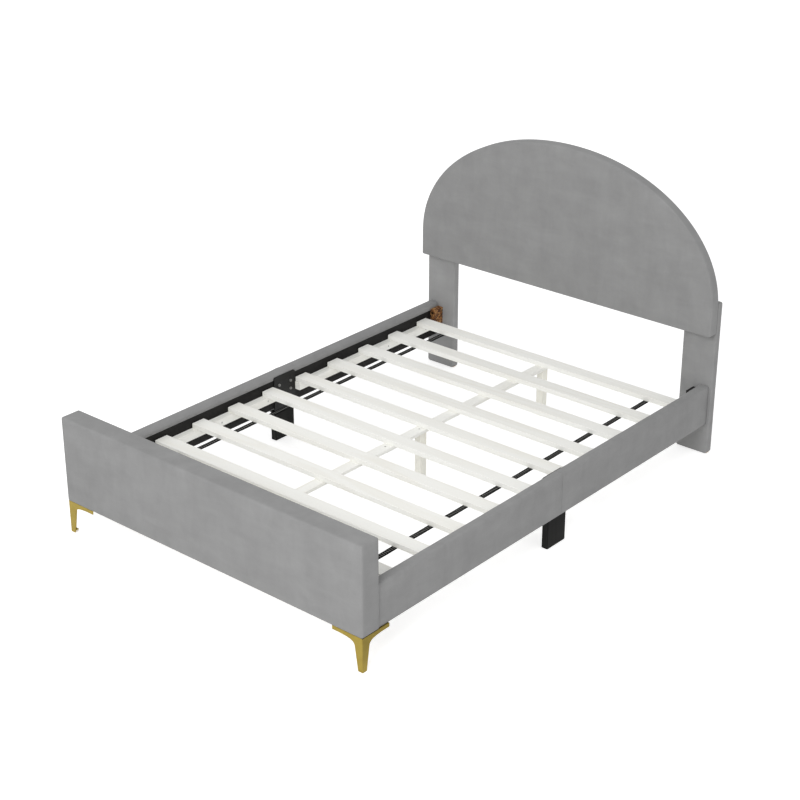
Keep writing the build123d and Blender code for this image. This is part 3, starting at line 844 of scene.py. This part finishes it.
# Carried pieces that keep their own shape
def dress(names, material):
    """Gives CAD pieces a material."""
    for name in names:
        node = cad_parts[name]
        node.data.materials.clear()
        node.data.materials.append(material)


dress(slat_names, pale_wood["x"])
dress(["ledger_" + quarter for quarter in quarters], pale_wood["y"])
dress(["beam_foot", "beam_head"], pale_wood["y"])
dress(["beam_leg_foot", "beam_leg_middle", "beam_leg_head"], leg_wood)
dress(["rail_board_" + quarter for quarter in quarters], dark_board)
dress(["headboard_board", "footboard_board", "head_leg_board_left", "head_leg_board_right"], raw_board)
dress(["foot_block_left", "foot_block_right", "head_block_left"], chip_board)
# Painted shade: the right head block takes the black board, not its twin's brown chips, so that it stands in
# for the dark shadow line along the rail's top at that corner
dress(["head_block_right"], dark_board)
dress(["mid_bracket_left", "mid_bracket_right", "beam_splice"], black_steel)
dress(["mid_leg_left", "mid_leg_right"], black_paint)
dress(["foot_leg_left", "foot_leg_right"], brass)
dress(["foot_glide_left", "foot_glide_right"], pale_plastic)


def eased(name, material, width):
    """A copy of a CAD piece, with its edges softened, that stands for it."""
    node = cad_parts[name]
    piece = new_piece(name + "_eased", node.data.copy())
    body = bmesh.new()
    body.from_mesh(piece.data)
    flat, sharp = math.radians(1), math.radians(40)
    bmesh.ops.remove_doubles(body, verts=body.verts, dist=2 * same_place)
    bmesh.ops.dissolve_limit(body, angle_limit=flat, verts=body.verts, edges=body.edges)
    body.to_mesh(piece.data)
    body.free()
    with_modifier(piece, "BEVEL", width=width, segments=2, limit_method="ANGLE", angle_limit=sharp)
    finished(piece, material, smooth=False)
    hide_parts(name)


for side_name, _ in sides:
    eased("foot_leg_" + side_name, brass, width=0.0009)
    eased("mid_bracket_" + side_name, black_steel, width=0.0006)
    eased("mid_leg_" + side_name, black_paint, width=0.0008)


# Webbing and back cloth
def make_webbing(name):
    """A webbing under the slats, tight against each and a little slack between them."""
    node = "webbing_" + name
    low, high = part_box(node)
    slats = [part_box(slat) for slat in slat_names]
    centres = [(a.y + b.y) / 2 for a, b in slats]
    half = (slats[0][1].y - slats[0][0].y) / 2
    thickness = high.z - low.z
    rings = []
    count = round((high.y - low.y) / outline_step)
    for k in range(count + 1):
        y = low.y + (high.y - low.y) * k / count
        before = max((c for c in centres if c <= y), default=centres[0])
        after = min((c for c in centres if c > y), default=centres[-1])
        gap = max(0.001, after - before - 2 * half)
        share = min(1.0, max(0.0, (y - before - half) / gap)) if before < y < after else 0.0
        top = high.z - webbing_slack * math.sin(math.pi * share) ** 2
        section = [(low.x + webbing_edge, 0.0), (low.x, 0.5), (low.x + webbing_edge, 1.0)]
        section += [(high.x - webbing_edge, 1.0), (high.x, 0.5), (high.x - webbing_edge, 0.0)]
        rings.append([Vector((x, y, top - thickness * depth)) for x, depth in section])
    piece = ring_solid("webbing_tape_" + name, rings)
    finished(piece, webbing_tape, smooth=False)
    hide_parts(node)


def make_back_cloth():
    """The thin cloth over the panel's back, stretched, with faint ripples between the legs."""
    low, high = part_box("headboard_back_cloth")
    leg_low, leg_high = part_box("head_leg_cover_right")
    half, rise = high.x, high.z - shoulder
    columns, rows, beside, rim, ripples_across, ripples_up = 72, 36, 0.02, 4, 9, 3
    body = bmesh.new()
    grid = []
    for i in range(columns + 1):
        turn = math.pi * (i / columns - 0.5)
        x = half * math.sin(turn)
        top = shoulder + rise * math.cos(turn)
        for j in range(rows + 1):
            z = low.z + (top - low.z) * j / rows
            edge = min(i, columns - i, j, rows - j) / rim
            clear = abs(x) < leg_low.x - beside or z > leg_high.z + beside
            lift = noise.noise(Vector((x * ripples_across, 3.0, z * ripples_up))) * 0.5 + 0.5
            y = low.y + tight + cloth_ripple * lift * min(1.0, edge) * clear
            grid.append(body.verts.new((x, y, z)))
    for i in range(columns):
        for j in range(rows):
            a = i * (rows + 1) + j
            b = a + rows + 1
            body.faces.new((grid[a + 1], grid[b + 1], grid[b], grid[a]))
    area = sum(face.calc_area() for face in body.faces)
    piece = made_piece("back_cloth_sheet", body)
    with_modifier(piece, "SOLIDIFY", thickness=cloth_thickness, offset=1.0)
    finished(piece, back_cloth)
    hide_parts("headboard_back_cloth")


def staple_tree():
    """Staples along the edges it is given, each a small bar that lies along them."""
    sizes = dict.fromkeys(("Spacing", "Length", "Wire", "Lean"), "Float")
    inputs = {"Line": "Geometry", **sizes, "Metal": "Material"}
    graph, entry = new_group("staples", "Geometry", inputs, {"Staples": "Geometry"})
    line = graph.get("GeometryNodeMeshToCurve", {0: entry["Line"]})
    spacing = {"Curve": line, "Length": entry["Spacing"]}
    spots = graph.add("GeometryNodeCurveToPoints", spacing, mode="LENGTH").outputs
    along = graph.get("FunctionNodeAlignRotationToVector", {"Vector": spots["Tangent"]}, axis="X")
    limits = {2: graph.times(entry["Lean"], -1.0), 3: entry["Lean"], "Seed": 7}
    lean = graph.add("FunctionNodeRandomValue", limits, data_type="FLOAT")
    tilt = graph.vector(0.0, lean.outputs[1])
    turn = graph.get("FunctionNodeRotateRotation", {0: along, 1: tilt}, rotation_space="LOCAL")
    size = graph.vector(entry["Length"], entry["Wire"], entry["Wire"])
    bar = graph.add("GeometryNodeMeshCube", {"Size": size}).outputs["Mesh"]
    places = {"Points": spots["Points"], "Instance": bar, "Rotation": turn}
    placed = graph.get("GeometryNodeInstanceOnPoints", places)
    return give_solids(graph, placed, entry["Metal"])


staples = staple_tree()


def staple_line(name, lines, spacing):
    """Staples along lines of points."""
    points, edges = [], []
    for line in lines:
        edges += [(len(points) + k, len(points) + k + 1) for k in range(len(line) - 1)]
        points += line
    mesh = bpy.data.meshes.new(name)
    mesh.from_pydata(points, edges, [])
    piece = new_piece(name, mesh)
    inputs = {"Spacing": spacing, "Length": 0.009, "Wire": 0.0009, "Lean": 0.12, "Metal": dull_zinc}
    with_nodes(piece, staples, inputs)
    finished(piece, dull_zinc, smooth=False)


def staple_everything():
    """Staples round the back cloth and along the lips of the rails' covers."""
    low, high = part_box("headboard_back_cloth")
    leg_low, leg_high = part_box("head_leg_cover_right")
    inset, back, beside, above = 0.007, high.y + 0.0003, 0.004, 0.006
    arch = [
        Vector((point.x, back, point.y))
        for point in arch_points(high.x - inset, shoulder, high.z - inset - shoulder, count=120)
        if abs(point.x) < leg_low.x - beside or point.y > leg_high.z + above
    ]
    base = [Vector((x, back, low.z + inset)) for x in (-leg_low.x + beside, leg_low.x - beside)]
    staple_line("back_cloth_staples", [arch, base], spacing=0.028)
    lines = []
    end_gap, bracket_gap, lip_inset = 0.06, 0.01, 0.006
    for name, sign in sides:
        for half in halves:
            low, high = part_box(f"rail_cover_{half}_{name}")
            inner = (low.x if sign > 0 else high.x) - sign * tight
            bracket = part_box("mid_bracket_" + name)
            start, end = low.y + end_gap, high.y - end_gap
            if half == "head":
                start = max(start, bracket[1].y + bracket_gap)
            else:
                end = min(end, bracket[0].y - bracket_gap)
            level = high.z - rail_lip + lip_inset
            lines.append([Vector((inner, start, level)), Vector((inner, end, level))])
    staple_line("rail_lip_staples", lines, spacing=0.045)


for side_name, _ in sides:
    make_webbing(side_name)
make_back_cloth()
staple_everything()


# Fasteners
def fastener_tree():
    """Heads on points, with a drive cut into each, and shanks as long as each point says."""
    sizes, sides_of = dict.fromkeys(fastener_sizes, "Float"), dict.fromkeys(fastener_sides, "Int")
    inputs = {"Points": "Geometry", **sizes, **sides_of, "Metal": "Material"}
    graph, entry = new_group("fasteners", "Geometry", inputs, {"Fasteners": "Geometry"})

    def moved(shape, height):
        offset = graph.vector(0.0, 0.0, height)
        return graph.get("GeometryNodeTransform", {"Geometry": shape, "Translation": offset})

    def cone(sides_name, top, low, depth):
        inputs = {"Vertices": entry[sides_name], "Radius Top": top, "Radius Bottom": low, "Depth": depth}
        return graph.add("GeometryNodeMeshCone", inputs).outputs["Mesh"]

    rise, depth, drive_radius = entry["Head rise"], entry["Drive depth"], entry["Drive radius"]
    head = cone("Head sides", entry["Top radius"], entry["Low radius"], entry["Head height"])
    head = moved(head, graph.math("SUBTRACT", rise, entry["Head height"]))
    narrowed, doubled = graph.times(drive_radius, 0.9), graph.times(depth, 2.0)
    drive = moved(cone("Drive sides", drive_radius, narrowed, doubled), graph.math("SUBTRACT", rise, depth))
    cut = graph.add("GeometryNodeMeshBoolean", {"Mesh 1": head}, operation="DIFFERENCE", solver="EXACT")
    graph.fill(cut, {"Mesh 2": drive})
    shank = {"Vertices": 16, "Radius": entry["Shank radius"], "Depth": 1.0}
    shank = graph.add("GeometryNodeMeshCylinder", shank).outputs["Mesh"]
    shank = graph.get("GeometryNodeTransform", {"Geometry": shank, "Translation": (0, 0, -0.5)})

    def attribute(name, kind):
        node = graph.add("GeometryNodeInputNamedAttribute", {"Name": name}, data_type=kind)
        return next(socket for socket in node.outputs if socket.enabled)

    facing, reach = attribute("facing", "FLOAT_VECTOR"), attribute("reach", "FLOAT")
    turn = graph.get("FunctionNodeAlignRotationToVector", {"Vector": facing}, axis="Z")
    stretch = graph.vector(1.0, 1.0, reach)
    both = graph.add("GeometryNodeJoinGeometry")
    for shape, scale in ((cut.outputs["Mesh"], (1, 1, 1)), (shank, stretch)):
        inputs = {"Points": entry["Points"], "Instance": shape, "Rotation": turn, "Scale": scale}
        graph.fill(both, {0: graph.get("GeometryNodeInstanceOnPoints", inputs)})
    return give_solids(graph, both.outputs[0], entry["Metal"])


fasteners = fastener_tree()


def place_fasteners(node, kind, places, coating):
    """One piece with all of a node's fasteners of a kind; a place is a point, a direction and a length."""
    name = f"{node}_{kind}s_made"
    mesh = bpy.data.meshes.new(name)
    points, facings, reaches = zip(*places)
    mesh.from_pydata(points, [], [])
    facing = mesh.attributes.new("facing", "FLOAT_VECTOR", "POINT").data
    facing.foreach_set("vector", [part for way in facings for part in way])
    reach = mesh.attributes.new("reach", "FLOAT", "POINT").data
    reach.foreach_set("value", reaches)
    piece = new_piece(name, mesh)
    with_nodes(piece, fasteners, dict(fastener_kinds[kind], Metal=coating))
    finished(piece, coating, smooth=False)
    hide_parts(node)


def remake_fasteners(node, kinds, coating):
    """Replaces a node's plain fasteners. Those wider than the limit are of the first kind."""
    limit = 0.0055
    found = {kind: [] for kind in kinds}
    for points in loose_parts(node):
        place, facing, length, radius = measured(points)
        kind = kinds[0] if radius > limit else kinds[-1]
        rise = fastener_kinds[kind]["Head rise"]
        found[kind].append((place - facing * rise, facing, length - rise))
    for kind, places in found.items():
        if places:
            place_fasteners(node, kind, places, coating)


def remake_splice_bolts():
    """The bolts through the beam's joint: flush heads on top, and a nut at each lower end."""
    node = "beam_splice_bolts"
    heads, nuts = [], []
    for points in loose_parts(node):
        place, facing, length, _ = measured(points)
        heads.append((place - facing * length, -facing, length))
        nuts.append((place, facing, fastener_kinds["nut"]["Head height"]))
    place_fasteners(node, "screw", heads, zinc)
    place_fasteners(node, "nut", nuts, zinc)


for fastener_node, fastener_metal in (
    ("headboard_bolts", zinc), ("foot_leg_screws", zinc), ("ledger_screws", zinc),
    ("bracket_bolts", dull_zinc), ("corner_fasteners", bronze), ("beam_leg_screws", zinc),
):
    remake_fasteners(fastener_node, ("bolt", "screw"), fastener_metal)
remake_fasteners("webbing_tacks", ("tack",), dull_zinc)
remake_splice_bolts()


# Camera, floor and light
def set_camera():
    """The camera at the photograph's place and angle."""
    picture_pixels, focal_pixels, sensor = 800, 1771.07, 36.0
    azimuth, elevation, roll = (math.radians(turn) for turn in (40.495, 25.05, 0.047))
    data = bpy.data.cameras.new("camera")
    data.sensor_width = sensor
    data.lens = focal_pixels / picture_pixels * sensor
    data.clip_end = 60.0
    camera = new_piece("camera", data)
    camera.location = (3.8641, -4.5492, 3.1651)
    level = math.cos(elevation)
    back = Vector((math.sin(azimuth) * level, -math.cos(azimuth) * level, math.sin(elevation)))
    turn = (-back).to_track_quat("-Z", "Y").to_matrix().to_4x4()
    camera.rotation_mode = "QUATERNION"
    camera.rotation_quaternion = (turn @ Matrix.Rotation(roll, 4, "Z")).to_quaternion()
    scene.camera = camera


def ray_kinds(graph):
    """1 for a camera, mirror or clear ray and 0 for light that falls on surfaces, then 1 for a mirror ray."""
    path = graph.add("ShaderNodeLightPath").outputs
    seen = graph.math("MAXIMUM", path["Is Camera Ray"], path["Is Glossy Ray"])
    return graph.math("MAXIMUM", seen, path["Is Transmission Ray"]), path["Is Glossy Ray"]


def set_world(level):
    """White to look at, an even light of the given level, and in mirrors a little darker from the right."""
    world = bpy.data.worlds.new("studio")
    scene.world = world
    world.use_nodes = True
    graph = Graph(world.node_tree)
    direction = graph.add("ShaderNodeTexCoord").outputs["Generated"]
    mirrored = graph.spread(graph.parts(direction)[0], -1.0, 1.0, 1.1, 0.35)
    seen, glossy = ray_kinds(graph)
    strength = graph.spread(seen, 0.0, 1.0, level, 1.0)
    strength = graph.times(strength, graph.spread_to(glossy, mirrored))
    graph.fill(world.node_tree.nodes["Background"], {"Color": (1, 1, 1, 1), "Strength": strength})


def make_floor():
    """A white floor that keeps a faint shadow, and looks darker on the bed's right in mirrors."""
    size, drop, glow, bounce_share, dark_start, dark_end = 60.0, 0.0006, 0.55, 0.27, 0.68, 0.8
    body = bmesh.new()
    bmesh.ops.create_grid(body, x_segments=1, y_segments=1, size=size)
    floor = made_piece("floor", body)
    floor.data.transform(Matrix.Translation((0, 0, -drop)))
    material, graph, principled = new_material("white floor")
    place = graph.add("ShaderNodeNewGeometry").outputs["Position"]
    card = graph.spread(graph.parts(place)[0], dark_start, dark_end, 1.0, 0.0)
    seen, glossy = ray_kinds(graph)
    strength = graph.times(graph.math("MAXIMUM", seen, bounce_share), glow)
    strength = graph.times(strength, graph.spread_to(glossy, card))
    graph.fill(principled, {
        "Base Color": (0.82, 0.82, 0.82, 1), "Roughness": 0.9, "Specular IOR Level": 0.0,
        "Emission Color": (1, 1, 1, 1), "Emission Strength": strength,
    })
    floor.data.materials.append(material)


def add_lamp(name, place, aim, size, power):
    """A square soft lamp that points at a place."""
    data = bpy.data.lights.new(name, "AREA")
    data.size = size
    data.energy = power
    lamp = new_piece(name, data)
    lamp.location = place
    lamp.rotation_mode = "QUATERNION"
    lamp.rotation_quaternion = (Vector(aim) - Vector(place)).to_track_quat("-Z", "Y")


scene.view_settings.view_transform = "Standard"
set_camera()
set_world(level=0.735)
make_floor()
add_lamp("front lamp", place=(1.68, -4.61, 3.64), aim=(0, -0.8, 0.3), size=2.2, power=131)
